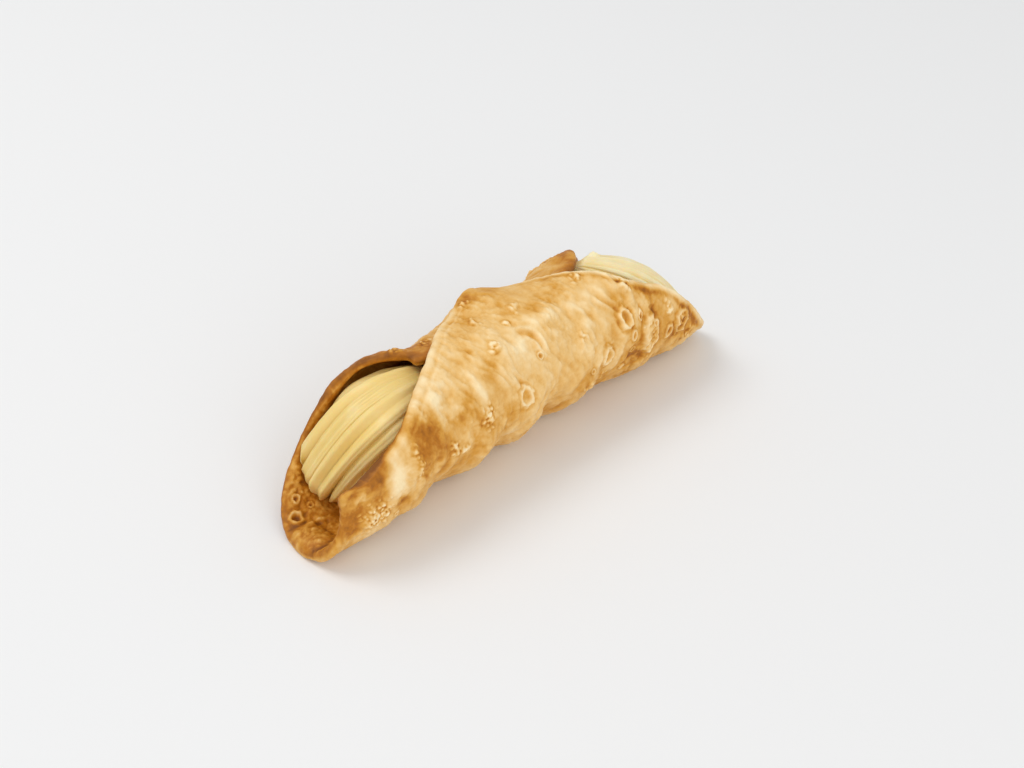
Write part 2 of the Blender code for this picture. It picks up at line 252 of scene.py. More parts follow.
# Patches of tone: mm along X, degrees of turn, reach in mm along and round, amount (brown is
# positive and pale negative).
PATCHES = (
    (-42.8, 120, 4.4, 9.0, 0.72), (-55.0, 116, 4.5, 3.0, 0.60), (-60.5, 107, 4.0, 3.5, 0.60),
    (-60.0, 74, 7.0, 7.0, 0.28), (-37.0, 110, 4.0, 6.0, 0.40), (-24.0, 119, 3.4, 3.4, 0.50),
    (-8.3, 146, 1.4, 1.1, 0.55), (-15.2, 157, 1.6, 0.7, 0.45), (4.0, 127, 0.8, 0.6, 0.50),
    (-20.0, -158, 3.0, 2.5, 0.40), (-24.5, -161, 1.6, 1.8, -0.40), (-28.0, -149, 2.4, 1.2, -0.25),
    (-11.0, 96, 2.2, 6.0, 0.35), (0.0, 202, 5.0, 4.0, 0.60), (-50.0, 74, 2.6, 2.2, 0.70),
    (47.7, 124, 1.3, 9.0, 0.48), (39.8, 80, 2.2, 0.9, 0.60), (62.0, 84, 6.0, 6.0, 0.35),
    (40.0, 100, 12.0, 16.0, 0.12), (-33.0, 80, 9.0, 3.0, 0.20), (65.5, 69, 3.0, 2.0, 0.60),
    (-67.0, 82, 6.0, 9.0, 0.62), (20.0, 60, 30.0, 6.0, 0.22), (-35.0, 70, 15.0, 6.0, 0.12),
    (-30.0, 90, 9.0, 4.0, 0.10), (54.0, 90, 14.0, 9.0, 0.15),
    (-51.6, 97, 3.0, 6.0, -0.95), (-33.4, 132, 1.4, 5.5, -0.55), (-19.2, 125, 1.8, 5.5, -0.55),
    (-52.0, 118, 2.0, 3.0, -0.50), (10.0, 120, 16.0, 9.0, -0.25), (-14.0, 150, 8.0, 5.0, -0.15),
    (30.0, 140, 8.0, 5.0, -0.20), (-0.5, 150, 7.0, 5.0, -0.55), (-7.5, 187, 3.0, 4.0, 0.30),
    (18.0, 162, 8.0, 3.5, 0.35), (56.0, 112, 4.0, 5.0, -0.55), (42.5, 113, 3.0, 4.0, -0.30),
    (43.5, -162, 3.0, 5.0, -0.60),
)


def scattered(count, seed, *ranges):
    """Seeded rows of numbers, each drawn from its range."""
    draw = random.Random(seed)
    return tuple(tuple(draw.uniform(*span) for span in ranges) for _ in range(count))


# More of both on the back, in the same order of numbers.
RINGS += scattered(26, 21, (-56, 62), (-150, 10), (0.7, 2.0), (1.0, 1.5), (0.35, 0.60))
CLUSTERS += scattered(7, 22, (-50, 58), (-140, -10), (1.6, 3.6), (1.6, 3.2), (12, 34))

# The crumbs of a cluster: metres of spread for each mm of reach, radii, and heights and lengths
# over the radius.
CRUMB_SEED = 5
CRUMB_SPREAD = 1 / 2200
CRUMB_RADII = (0.00034, 0.00070)
CRUMB_HEIGHTS = (0.8, 1.3)
CRUMB_STRETCHES = (1.0, 2.1)

# A burst blister from its middle outwards, over its radius: place, width and sharpness of its
# rim, hole, moat and swelling, each with its height over the rim's, and its tone. The rim's pale
# tone is partly a painted highlight, and the brown of the hole and moat is partly painted shade.
CRUST_RING = (
    (1.0, 0.22, 1, 5 / 6, -0.80), (0.0, 0.70, 2, -3 / 4, 0.40), (1.5, 0.26, 1, -1 / 3, 0.34),
    (0.0, 1.6, 1, 1 / 4, 0.0),
)

# The crust's own tone, how far its relief is set in, and clouds of tone: size, amount and layer
# of the noise.
CRUST_TONE = 0.20
CRUST_SINK = 0.00035
CRUST_CLOUDS = ((0.013, 0.34, 4.0), (0.0055, 0.26, 7.0))

# Its grain: size of the lumps, height, amount of tone and layer; calmer in places, with froth.
# The grain's tone is painted light: a painted highlight on the lumps and painted shade in the
# creases.
CRUST_GRAINS_AND_SHADE = (
    (0.0062, 0.00030, 0.12, 6.0), (0.0026, 0.00026, 0.20, 6.5), (0.0011, 0.00014, 0.18, 8.0),
)
CALM_SIZE = 0.016
FROTH_SIZE = 0.0012
FROTH_HEIGHT = 0.00022
FROTH_TONE = 0.15

# Slanting marks: direction, size along and across it, height and tone. The streaks' tone is a painted
# highlight along their raised lines; the creases and furrows have painted shade in their low lines.
SWAY_SIZE = 0.007
SWAY = 0.0022
HIGHLIGHT_STREAKS = (math.radians(-58), (0.0090, 0.0030), 0.00070, 0.50)
CREASES = (math.radians(-66), (0.0046, 0.0013), 0.00030, 0.50)
FURROWS = (math.radians(-108), (0.0130, 0.0036), 0.00100, 0.40)
UPPER_SIDE = (math.radians(140), math.radians(38))  # middle and reach of the streaks' side
LOWER_SIDE = (math.radians(78), math.radians(34))  # and of the furrows'

# Bands along the lips: mm in from the edge, width in mm, height in mm, and tone.
NEAR_BANDS = (
    (1.2, 0.90, 0.30, 0.0), (0.9, 1.10, 0.0, -0.55), (2.4, 0.45, 0.0, 0.12), (3.1, 0.45, 0.10, 0.0),
    (3.1, 0.35, 0.0, -0.25), (4.3, 0.45, 0.10, 0.0),
)
FAR_BANDS = ((0.5, 0.8, 0.0, -0.95), (2.3, 0.7, 0.0, 0.55))
BACK_BAND = 0.0050

# The dough folded in behind the near front lip: thickness, place along X, reach along the lip and
# width. A dark line of painted shadow follows it on either face, standing in for the shadow in the
# gap beside the cream: amount and width.
FOLD_IN = 0.0030
FOLD_MIDDLE = -0.0560
FOLD_REACH = 0.0085
FOLD_WIDTH = 0.0060
OUTER_SHADOW_LINE = (0.35, 0.00055)
INNER_SHADOW_LINE = (1.2, 0.00080)


def spot_of(x_mm, degrees):
    """The flat spot that shows on the outside at mm along X and degrees of turn."""
    x = x_mm / 1000
    return x, arc_at(x, math.radians(degrees))


def all_blisters():
    """The bubbles and the scattered blisters of the solids: place, arc, radius and height."""
    draw = random.Random(RELIEF_SEED)
    found = []
    for x, turn, radius, height in BUBBLES:
        arc = (math.radians(turn) - float(keel_turn(x))) * MIDDLE_RADIUS
        found.append((x, arc, radius, height))
    for _ in range(BLISTERS):
        x = draw.uniform(NEAR_TIP, FAR_TIP)
        arc = draw.uniform(-1, 1) * WRAP_END * MIDDLE_RADIUS
        radius = draw.uniform(*BLISTER_RADII)
        found.append((x, arc, radius, radius * BLISTER_STEEPNESS * draw.uniform(0.5, 1.2)))
    return found


def crumbs():
    """The single crumbs of all clusters: place, arc, radius, height, direction and stretch."""
    draw = random.Random(CRUMB_SEED)
    found = []
    for x_mm, turn, along, around, count in CLUSTERS:
        x, arc = spot_of(x_mm, turn)
        for _ in range(round(count)):
            radius = draw.uniform(*CRUMB_RADII)
            found.append((
                x + draw.gauss(0, along * CRUMB_SPREAD), arc + draw.gauss(0, around * CRUMB_SPREAD),
                radius, radius * draw.uniform(*CRUMB_HEIGHTS),
                draw.uniform(0, math.pi), draw.uniform(*CRUMB_STRETCHES)))
    return found


def near(spots, spot, reach):
    """Which spots lie within reach of a spot."""
    return np.nonzero((abs(spots - spot) < reach).all(axis=1))[0]


def off_spot(spots, spot, along, around):
    """How far spots lie from a spot, over a reach along the tube and one round it."""
    return np.hypot((spots[:, 0] - spot[0]) / along, (spots[:, 1] - spot[1]) / around)


def add_blisters(spots, height, tone):
    """Add the bubbles and blisters of the solids."""
    for place, middle, radius, rise in all_blisters():
        spot = place, middle
        found = near(spots, spot, 2 * radius)
        off = off_spot(spots[found], spot, radius, radius)
        height[found] += np.where(off < 2, rise * bump(off), 0)
        tone[found] -= 0.20 * bump(off / 0.7)


def add_rings(spots, rings, profile, ragged, height, tone):
    """Add burst blisters of a profile, partly painted highlight on the rim and painted shade in the
    hole and moat.
    """
    for x_mm, turn, radius, stretch, rim in rings:
        spot = spot_of(x_mm, turn)
        reach = radius / 1000
        found = near(spots, spot, 3 * reach * stretch)
        off = off_spot(spots[found], spot, reach, reach * stretch) * ragged[found]
        for start, width, sharpness, rise, amount in profile:
            band = bump(((off - start) / width) ** sharpness)
            height[found] += rim / 1000 * rise * band
            tone[found] += amount * band


def add_crumbs(spots, ragged, height, tone):
    """Add the crumbs, each pale, partly as a painted highlight, with a ring of painted shade round
    it; the highest one counts.
    """
    highest = np.zeros(len(spots))
    for place, middle, radius, rise, direction, stretch in crumbs():
        spot = place, middle
        found = near(spots, spot, 3 * radius)
        off = off_spot(slanted(spots[found] - spot, direction), (0, 0), radius * stretch, radius)
        off *= ragged[found]
        highest[found] = np.maximum(highest[found], rise * bump(off))
        # Painted shade in the gap round each crumb, and a paler crumb that is partly a painted
        # highlight.
        tone[found] += 0.18 * bump((off - 1.2) / 0.4) - 0.57 * bump(off / 0.8)
    height += highest


def add_patches(spots, frayed, tone):
    """Add the patches of tone."""
    for x_mm, turn, along, around, amount in PATCHES:
        spot = spot_of(x_mm, turn)
        found = near(spots, spot, 0.0025 * max(along, around))
        off = 1000 * off_spot(spots[found], spot, along, around)
        tone[found] += amount * bump((off * frayed[found]) ** 1.5)


def cloudy(spots, base, clouds):
    """A base tone with soft clouds."""
    return base + sum(amount * waves(spots, size, layer) for size, amount, layer in clouds)


def add_grain_with_painted_light(spots, grains, strength, height, tone):
    """Add rounded lumps with sharp creases between them, with a painted highlight on top and painted
    shade in the creases.
    """
    for size, rise, amount, layer in grains:
        lumps = 2 * abs(waves(spots, size, layer))
        height += strength * rise * lumps
        # Painted highlight on the lumps, painted shade in the creases.
        tone -= strength * amount * (lumps - 0.5)


def add_froth(spots, height, tone):
    """Add fine round bubbles, in places."""
    froth = fizz(spots, FROTH_SIZE) * np.clip(waves(spots, 0.009, 2.0) * 2 + 0.2, 0, 1)
    height += FROTH_HEIGHT * froth
    tone -= FROTH_TONE * froth


def add_marks(spots, height, tone):
    """Add the streaks and creases of the upper side and the furrows of the lower side, with painted
    highlight on their raised lines and painted shade in their low ones.
    """
    sway = np.column_stack([waves(spots, SWAY_SIZE, 31.0), waves(spots, SWAY_SIZE, 32.0)])
    bent = spots + SWAY * sway
    angle = spots[:, 1] / MIDDLE_RADIUS
    middle, reach = UPPER_SIDE
    upper = 0.15 + 0.85 * bump((angle - middle) / reach)
    upper *= np.clip(0.6 + 1.6 * waves(spots, 0.012, 33.0), 0, 1)
    direction, size, rise, amount = HIGHLIGHT_STREAKS
    lines = 1 - 2.4 * abs(waves(slanted(bent, direction), size, 1.0))
    height += rise * lines * upper
    # Painted highlight along the streaks' raised lines, darker between them.
    tone += amount * (0.25 - lines) * upper
    direction, size, rise, amount = CREASES
    lines = waves(slanted(bent, direction), size, 35.0) * (0.3 + 0.7 * upper)
    height += rise * lines
    # Painted shade in the creases' low lines, paler on their raised ones.
    tone -= amount * lines
    direction, size, rise, amount = FURROWS
    middle, reach = LOWER_SIDE
    lines = waves(slanted(bent, direction), size, 34.0) * bump((angle - middle) / reach)
    height += rise * lines
    # Painted shade in the furrows' low lines, paler on their raised ones.
    tone -= amount * lines


def add_lips(spots, depth, height, tone):
    """Add the bands along the front lips and the browned back lip."""
    x, angle = spots[:, 0], spots[:, 1] / MIDDLE_RADIUS
    wavy = 1000 * depth + 0.5 * waves(spots, 0.006, 11.0)
    at_near = rising(angle, math.radians(40), math.radians(30))
    at_near *= rising(-x, -0.010, 0.020) * rising(x, -0.052, 0.010)
    at_far = rising(angle, math.radians(20), math.radians(20)) * rising(x, 0.014, 0.014)
    for where, bands in ((at_near, NEAR_BANDS), (at_far, FAR_BANDS)):
        for middle, width, rise, amount in bands:
            band = where * bump((wavy - middle) / width)
            height += rise / 1000 * band
            tone += amount * band
    at_back = rising(-angle, math.radians(20), math.radians(30))
    tone += at_back * (0.25 + 0.75 * bump(depth / BACK_BAND))


def fold_shadow_line(spots, depth, line):
    """The tone of the painted shadow line along the folded-in layer."""
    amount, width = line
    along = bump((spots[:, 0] - FOLD_MIDDLE) / FOLD_REACH)
    return amount * along * bump(depth / width) * (spots[:, 1] > 0)


def crust_relief(spots, depth):
    """Height and tone of the outer face at flat spots with their depths inside the edge."""
    height = SWELL_HEIGHT * waves(spots, SWELL_SIZE) - CRUST_SINK
    tone = cloudy(spots, CRUST_TONE, CRUST_CLOUDS)
    add_blisters(spots, height, tone)
    ragged = 1 + 0.22 * waves(spots, 0.0016, 3.0) + 0.15 * waves(spots, 0.0008, 5.0)
    add_rings(spots, RINGS, CRUST_RING, ragged, height, tone)
    add_crumbs(spots, ragged, height, tone)
    add_patches(spots, ragged + 0.45 * waves(spots, 0.0046, 36.0), tone)
    calm = np.clip(0.75 + 0.9 * waves(spots, CALM_SIZE, 2.0), 0.35, 1)
    calm *= 1 + 0.5 * rising(spots[:, 0], 0.030, 0.010)
    add_grain_with_painted_light(spots, CRUST_GRAINS_AND_SHADE, calm, height, tone)
    add_froth(spots, height, tone)
    add_marks(spots, height, tone)
    add_lips(spots, depth, height, tone)
    # Painted shadow along the folded-in lip.
    tone += fold_shadow_line(spots, depth, OUTER_SHADOW_LINE)
    return height, tone


# ---------------- the trough's detail

# Tone, clouds, grain and burst blisters, as for the outer face; the grain's tone is a painted
# highlight on the lumps and painted shade in the creases.
TROUGH_TONE = 0.80
TROUGH_CLOUDS = ((0.008, 0.30, 14.0),)
TROUGH_GRAINS_AND_SHADE = ((0.0030, 0.00030, 0.36, 20.0), (0.0012, 0.00016, 0.34, 21.0))
TROUGH_RINGS = (
    (-63.1, -36, 1.1, 1.1, 0.45), (-66.4, -20, 1.7, 1.1, 0.65), (-60.5, -24, 0.7, 1.2, 0.25),
)
# As above: the pale rim is partly a painted highlight, the brown hole and moat partly painted shade.
TROUGH_RING = ((1.0, 0.30, 1, 1.0, -0.75), (0.0, 0.66, 2, -0.6, 0.55), (1.6, 0.30, 1, 0.0, 0.30))

# A swollen blister at the near lip, a crease behind it and a crackled spot: mm along X, degrees
# of turn, reach in mm along and round, and height in mm.
PILLOW = (-68.6, 9, 4.6, 6.0, 2.2)
CREASE = (-62.2, -6, 3.6, 0.8, 0.5)
CRACKLE = (-58.5, -45, 4.5, 5.5, 0.6)
CRACKLE_SIZE = 0.0016

# The inner face's relief begins at this place along X and grows over this length.
TROUGH_END = -0.046
TROUGH_FADE = 0.006


def add_pillow(spots, height, tone):
    """Add the swollen blister, with painted shade in the crease round it and a paler top that is a
    painted highlight.
    """
    x_mm, turn, along, around, rise = PILLOW
    off = 1000 * off_spot(spots, spot_of(x_mm, turn), along, around)
    off *= 1 + 0.12 * waves(spots, 0.005, 25.0)
    height += rise / 1000 * bump(off**1.6)
    # Painted shade in the crease round the blister, painted highlight on its top.
    tone += 0.50 * bump((off - 1.25) * along / 0.7) - 0.24 * bump(off**2)


def add_crease(spots, height, tone):
    """Add the slanted crease, with painted shade on its one side and paler on its ridge."""
    x_mm, turn, along, around, rise = CREASE
    place, middle = spot_of(x_mm, turn)
    off_x = (spots[:, 0] - place) * 1000 / along
    off_arc = (spots[:, 1] - middle) * 1000 / around - 1.2 * off_x
    height += rise / 1000 * bump(off_x) * bump(off_arc)
    # Painted shade beside the crease, painted highlight on its ridge.
    tone += 0.5 * bump(off_x) * (bump(off_arc - 1.6) - 0.6 * bump(off_arc))


def add_crackle(spots, height, tone):
    """Add the crackled spot."""
    x_mm, turn, along, around, rise = CRACKLE
    inside = bump(1000 * off_spot(spots, spot_of(x_mm, turn), along, around))
    cells = fizz(spots, CRACKLE_SIZE, 5.0)
    height += rise / 1000 * inside * cells
    tone += inside * (0.55 - cells)


def trough_relief(spots):
    """Height towards the axis and tone of the inner face at flat spots."""
    height = np.zeros(len(spots))
    tone = cloudy(spots, TROUGH_TONE, TROUGH_CLOUDS)
    add_grain_with_painted_light(spots, TROUGH_GRAINS_AND_SHADE, 1, height, tone)
    ragged = 1 + 0.25 * waves(spots, 0.0018, 23.0)
    add_rings(spots, TROUGH_RINGS, TROUGH_RING, ragged, height, tone)
    add_pillow(spots, height, tone)
    add_crease(spots, height, tone)
    add_crackle(spots, height, tone)
    return height * rising(-spots[:, 0], -TROUGH_END, TROUGH_FADE), tone


# ---------------- the shell

# Rings of points along the lips: distance in from the edge, and share of the wall's half.
LIP_RINGS = (
    (0.0, 0.34), (0.00015, 0.56), (0.0004, 0.76), (0.0008, 0.91), (0.0013, 0.98), (0.0019, 1.0),
)
EDGE_SPACING = 0.0007

# Grids of points: spacing, and how far they stay off the innermost ring.
FEATURE_GRID = (0.00028, 0.0003)
FRONT_GRID = (0.00044, 0.0003)
PLAIN_GRID = (0.00075, 0.0005)
COVERED_GRID = (0.0016, 0.0010)
INNER_GRID = (0.0014, 0.0009)
TROUGH_GRID = (0.00048, 0.0004)

# Where the grids change: metres round a feature for each mm of its size, an arc on the outer
# face, a depth under the overlap, and the trough's end along X and reach round the tube.
RING_REACH = 0.0017
CLUSTER_REACH = 0.0010
FRONT_ARC = math.radians(32) * MIDDLE_RADIUS
COVERED_DEPTH = 0.001
TROUGH_REACH = (-0.050, 0.030)

# Where the edge departs from the solids': mm along X, degrees of wrap, reach in mm, and how far
# out it goes in mm.
EDGE_SHIFTS = (
    (-64.9, 81, 3.4, 4.0), (-70.5, 52, 5.0, -1.5), (-51.0, 112, 11.0, -1.2),
    (-64.0, -62, 20.0, 1.1),
)
EDGE_TRIM = 0.0002

# Where the near front lip curls in more than in the solids, as in PUSHES.
CURL = (-0.069, 103, -0.0026, 0.0050, 20)


def grid_inside(edge, grid, kept):
    """Points of a triangular grid inside the outline by its margin, where kept says so."""
    spacing, margin = grid
    low, high = edge.min(axis=0), edge.max(axis=0)
    step = spacing * math.sqrt(3) / 2
    rows = np.arange(math.ceil(low[1] / step), math.floor(high[1] / step) + 1)
    columns = np.arange(math.ceil(low[0] / spacing) - 1, math.floor(high[0] / spacing) + 1)
    x = columns * spacing + (spacing / 2) * (rows[:, None] % 2)
    arc = np.broadcast_to(rows[:, None] * step, x.shape)
    spots = np.column_stack([x.ravel(), arc.ravel()])
    spots = spots[kept(spots)]
    return spots[depth_inside(edge, spots) > margin]


def sheet(rings, field):
    """A flat sheet with the given rings and inner points.

    Gives its spots, its triangles, each spot's share of the wall's half, and the outer ring.
    """
    flat = np.concatenate([*rings, field])
    count = len(rings[0])
    shares = np.ones(len(flat))
    for row, (distance, share) in enumerate(LIP_RINGS):
        shares[row * count:(row + 1) * count] = share
    border = [(spot, (spot + 1) % count) for spot in range(count)]
    made = delaunay_2d_cdt([Vector(spot) for spot in flat], border, [], 1, 1e-8)
    spots, triangles, origins = made[0], made[2], made[3]
    order = [origin[0] for origin in origins]
    places = {origin: place for place, origin in enumerate(order)}
    ring = [places[spot] for spot in range(count)]
    return np.array([tuple(spot) for spot in spots]), np.array(triangles), shares[order], ring


def rough_edge():
    """The dough's edge with its small unevenness and its near lobe."""
    edge = outline(EDGE_SPACING)
    shift = EDGE_TRIM + 0.00025 * waves(edge, 0.0042, 9.0) + 0.00014 * waves(edge, 0.0016, 9.5)
    for x_mm, angle, reach, size in EDGE_SHIFTS:
        spot = x_mm / 1000, math.radians(angle) * MIDDLE_RADIUS
        shift -= size / 1000 * bump(1000 * off_spot(edge, spot, reach, reach))
    return inset(edge, shift)


def wall_face(x, arc):
    """Radius of the solids' inner face at flat spots, with the curl of the near lip."""
    angle = arc / MIDDLE_RADIUS
    return inner_face(x, angle) + pushed(x, angle, CURL)


def folded_in(spots, depth):
    """How much thicker the near front lip is on its inside, where the dough is folded in."""
    along = bump(((spots[:, 0] - FOLD_MIDDLE) / FOLD_REACH) ** 2)
    across = np.clip(1.5 - depth / FOLD_WIDTH, 0, 1)
    return FOLD_IN * along * across * (spots[:, 1] > 0)


def near_feature(spots):
    """Spots on or beside a burst blister or a cluster."""
    found = np.zeros(len(spots), bool)
    for x_mm, turn, radius, stretch, rim in RINGS:
        found |= off_spot(spots, spot_of(x_mm, turn), radius, radius * stretch) < RING_REACH
    for x_mm, turn, along, around, count in CLUSTERS:
        found |= off_spot(spots, spot_of(x_mm, turn), along, around) < CLUSTER_REACH
    return found


def in_front(spots):
    """Spots of the outer face that the main view shows."""
    return spots[:, 1] > FRONT_ARC


def depth_under_lap(edge, spots):
    """How deep spots of the lower layer lie under the overlap; negative beside it."""
    return depth_inside(edge, spots + (0, FULL_TURN * MIDDLE_RADIUS))


def covered(spots, edge):
    """Spots of the lower layer under the overlap."""
    found = spots[:, 1] < 0
    found[found] = depth_under_lap(edge, spots[found]) > COVERED_DEPTH
    return found


def in_trough(spots):
    """Spots of the inner face that can be seen at the near end."""
    end, side = TROUGH_REACH
    return (spots[:, 0] < end) & (abs(spots[:, 1]) < side)


def outer_field(edge, ring):
    """The outer face's points: dense where there is most to see."""
    return np.concatenate([
        grid_inside(ring, FEATURE_GRID, near_feature),
        grid_inside(ring, FRONT_GRID, lambda s: in_front(s) & ~near_feature(s)),
        grid_inside(ring, PLAIN_GRID, lambda s: ~(
            in_front(s) | near_feature(s) | covered(s, edge))),
        grid_inside(ring, COVERED_GRID, lambda s: ~near_feature(s) & covered(s, edge))])


def inner_field(ring):
    """The inner face's points: dense in the trough."""
    return np.concatenate([
        grid_inside(ring, INNER_GRID, lambda s: ~in_trough(s)),
        grid_inside(ring, TROUGH_GRID, in_trough)])


def outer_side(edge, rings):
    """The outer face: vertices, triangles, tone and the vertices of its outer ring."""
    spots, faces, share, ring = sheet(rings, outer_field(edge, rings[-1]))
    x, arc = spots[:, 0], spots[:, 1]
    height, tone = crust_relief(spots, depth_inside(edge, spots))
    turn = remainder(keel_turn(x) + arc / MIDDLE_RADIUS)
    height *= 1 - bump(turn / REST_WIDTH)
    lower = arc < 0
    height[lower] *= rising(-depth_under_lap(edge, spots[lower]), LAP_MARGIN, LAP_FADE)
    radius = wall_face(x, arc) + WALL * (1 + share) / 2 + height * share
    return rolled(x, arc, radius), faces, tone, ring


def inner_side(edge, rings):
    """The inner face, as the outer one."""
    spots, faces, share, ring = sheet(rings, inner_field(rings[-1]))
    x, arc = spots[:, 0], spots[:, 1]
    depth = depth_inside(edge, spots)
    height, tone = trough_relief(spots)
    # Painted shadow along the folded-in lip, on the inner face.
    tone += fold_shadow_line(spots, depth, INNER_SHADOW_LINE)
    low = wall_face(x, arc) - folded_in(spots, depth)
    radius = low + WALL * (1 - share) / 2 - height * share
    return rolled(x, arc, radius), faces, tone, ring


def shell_mesh():
    """Vertices, faces and tone of the shell: its two faces, joined along the lips."""
    edge = rough_edge()
    rings = [inset(edge, distance) for distance, share in LIP_RINGS]
    outer, outer_faces, outer_tone, outer_ring = outer_side(edge, rings)
    inner, inner_faces, inner_tone, inner_ring = inner_side(edge, rings)
    vertices = np.concatenate([outer, inner])
    vertices[:, 2] = np.maximum(vertices[:, 2], 0)
    half = len(outer)
    faces = [tuple(corners) for corners in outer_faces]
    faces += [tuple(half + corner for corner in reversed(corners)) for corners in inner_faces]
    for spot in range(len(edge)):
        following = (spot + 1) % len(edge)
        faces.append((
            half + inner_ring[spot], half + inner_ring[following],
            outer_ring[following], outer_ring[spot]))
    return vertices, faces, np.concatenate([outer_tone, inner_tone])


def add_object(name, vertices, faces):
    """A smooth mesh object with the given form, moved over the origin."""
    mesh = bpy.data.meshes.new(name)
    mesh.from_pydata([tuple(vertex) for vertex in vertices], [], faces)
    mesh.transform(Matrix.Translation(CENTRING))
    mesh.shade_smooth()
    made = bpy.data.objects.new(name, mesh)
    bpy.context.scene.collection.objects.link(made)
    return made


# ---------------- the cream

# Ridges: depths over the rosette's radius, ribs on each ridge, and how the depth fades to the
# tail, from a share of the spine on.
NEAR_RIDGES = 22
FAR_RIDGES = 16
RIDGE_POINTS = 16
RIDGE_DEPTH = 0.115
RIDGE_SIZES = (0.92, 1.05)
RIDGE_SHIFTS = (-0.15, 0.15)
RIBS = 2.5
RIB_DEPTH = 0.020
RIDGE_FADE = 0.6
FADE_START = 0.40
FADE_LENGTH = 0.30

# Fingertips at the front: notches between pairs of ridges, their depth over the radius, how far
# the tips reach, and one tip that is longer.
FINGER_SHARE = 0.16
FINGER_DEPTH = 0.22
FINGER_REACH = 0.0034
FINGER_SIZES = (0.5, 1.1)
LONG_FINGER = 0.9
LONG_FINGER_TURN = math.radians(56)
LONG_FINGER_WIDTH = 0.5

# The rosettes as a whole: where the ridges start and stand wider apart, how they twist and lean,
# and how the front and the tail are rounded.
FIRST_RIDGE = math.radians(-5.6)
SPREAD = 0.34
SPREAD_MIDDLE = math.radians(-44)
TWIST = math.radians(-12)
LEAN = 0.30
LEAN_SHARE = 0.4
BLUNT_SHARE = 0.12
BLUNT_POWER = 0.40
TAPER_SHARE = 0.60
TAPER_POWER = 0.75
RIPPLE_SIZE = 0.004
RIPPLE_HEIGHT = 0.00020
ROSETTE_STEPS = 70
NEAR_SPINE = (
    Vector((-0.0475, 0.0084, 0.0025)),
    Vector((-0.0444, -0.0047, 0.0237)),
    Vector((-0.0150, 0.0010, 0.0265)),
)
NEAR_WIDTH = 0.0165
NEAR_SEED = 3
FAR_SPINE = (
    Vector((0.0640, -0.0112, 0.0028)),
    Vector((0.0600, -0.0058, 0.0192)),
    Vector((0.0410, 0.0075, 0.0330)),
)
FAR_WIDTH = 0.0126
FAR_SEED = 4
PEAK = np.array((0.0497, 0.0055, 0.0336))  # a small tip on the far rosette
PEAK_HEIGHT = 0.0016
PEAK_REACH = 0.0015

# The filling between them: it is full between two places along X and a low tongue at its ends.
CORE_ENDS = (-0.042, 0.052)
CORE_FULL = (-0.006, 0.022)
TONGUE_RADIUS = 0.0085
TONGUE_HEIGHT = 0.0135
CORE_FADE = 0.014
CORE_CAPS = (0.3, 0.65)
CORE_STEPS = 26
CORE_POINTS = 36

# The cream's painted shade, darker down between the ridges: rounds of smoothing that level the
# ridges out, the shade at that level, the depth for one whole shade; and the painted light that
# makes the far end paler, from a place along X over a length.
VALLEY_ROUNDS = 30
VALLEY_MIDDLE = 0.40
VALLEY_DEPTH = 0.0014
FAR_PAINTED_LIGHT = 0.45
PAINTED_LIGHT_START = 0.020
PAINTED_LIGHT_LENGTH = 0.020

# How the shell holds the cream in: how near it presses, how far beyond the edge it still holds,
# how fast the cream may swell past that, and the spacing of the edge's points.
PRESS = 0.0008
EDGE_HOLD = 0.0014
SWELL_SLOPE = 2
HOLD_SPACING = 0.00125


def held_in(spots, edge):
    """Points drawn back to where the shell lets them be, more and more within PRESS of it."""
    y, z = spots[:, 1], spots[:, 2] - AXIS_HEIGHT
    radius = np.hypot(y, z)
    x = spots[:, 0]
    around = remainder(np.arctan2(-y, -z) - keel_turn(x))
    limit = np.full(len(spots), np.inf)
    for angle in (around, around - np.copysign(FULL_TURN, around)):
        past = -depth_inside(edge, np.column_stack([x, angle * MIDDLE_RADIUS])) - EDGE_HOLD
        free = inner_face(x, angle) - FIT_GAP + SWELL_SLOPE * np.maximum(past, 0)
        limit = np.minimum(limit, free)
    over = np.maximum(radius - limit + PRESS, 0)
    held = np.where(over > 0, limit - PRESS**2 / (PRESS + over), radius)
    share = held / np.maximum(radius, 1e-9)
    return np.column_stack([x, y * share, AXIS_HEIGHT + z * share])


def loft(sections):
    """Vertices and faces of a solid over rings of points, closed to a point at each end."""
    count = len(sections[0])
    vertices = np.concatenate(sections)
    faces = []
    for row in range(len(sections) - 1):
        for column in range(count):
            a, b = row * count + column, row * count + (column + 1) % count
            faces.append((b, a, a + count, b + count))
    total = len(vertices)
    for start in (0, total - count):
        middle = total + (start > 0)
        for column in range(count):
            a, b = start + column, start + (column + 1) % count
            faces.append((middle, b, a) if start else (middle, a, b))
    ends = [sections[0].mean(axis=0), sections[-1].mean(axis=0)]
    return np.concatenate([vertices, ends]), faces


